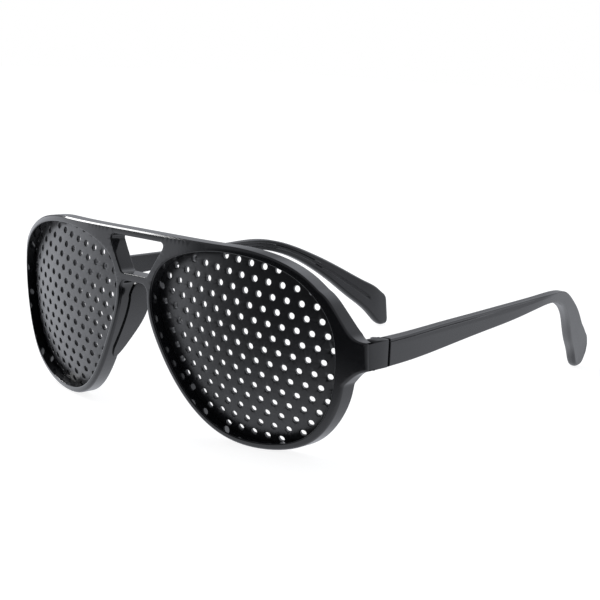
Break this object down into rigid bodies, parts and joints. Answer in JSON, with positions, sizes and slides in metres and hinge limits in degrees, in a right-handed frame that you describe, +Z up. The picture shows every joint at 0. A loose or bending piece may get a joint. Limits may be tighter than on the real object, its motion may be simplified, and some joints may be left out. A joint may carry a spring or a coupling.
{
  "type": "pinhole glasses",
  "caption": "Rimmed glasses whose two curved lenses are opaque plates drilled with rows of pinholes, with two hinged temples.",
  "frame": {"origin": "on the table below the middle of the glasses' bounding box, with the temples open", "axes": "+X to the wearer's left, +Y from the front back along the temples, +Z up from the rims' bottoms to the brow bar"},
  "size_m": [0.1426, 0.1747, 0.0559],
  "materials": {
    "frame_plastic": "moulded black plastic, satin gloss",
    "plate_plastic": "fine matt black plastic",
    "pad_plastic": "moulded black plastic, satin gloss",
    "temple_plastic": "moulded black plastic, satin gloss",
    "hinge_steel": "dull stamped steel",
    "screw_steel": "plain steel screw"
  },
  "bodies": {
    "front": {"front_frame": "frame_plastic", "pinhole_plate_left": "plate_plastic", "nose_pad_left": "pad_plastic", "hinge_front_leaf_left": "hinge_steel", "hinge_screw_left": "screw_steel", "pinhole_plate_right": "plate_plastic", "nose_pad_right": "pad_plastic", "hinge_front_leaf_right": "hinge_steel", "hinge_screw_right": "screw_steel"},
    "left_temple": {"temple_left": "temple_plastic", "hinge_temple_leaf_left": "hinge_steel"},
    "right_temple": {"temple_right": "temple_plastic", "hinge_temple_leaf_right": "hinge_steel"}
  },
  "joints": [
    {"name": "left_hinge", "type": "hinge", "parent": "front", "child": "left_temple", "pos_m": [0.065, -0.05825, 0.0292], "axis": [0, 0, 1], "range_deg": [0, 83]},
    {"name": "right_hinge", "type": "hinge", "parent": "front", "child": "right_temple", "pos_m": [-0.065, -0.05825, 0.0292], "axis": [0, 0, 1], "range_deg": [-62, 0]}
  ]
}
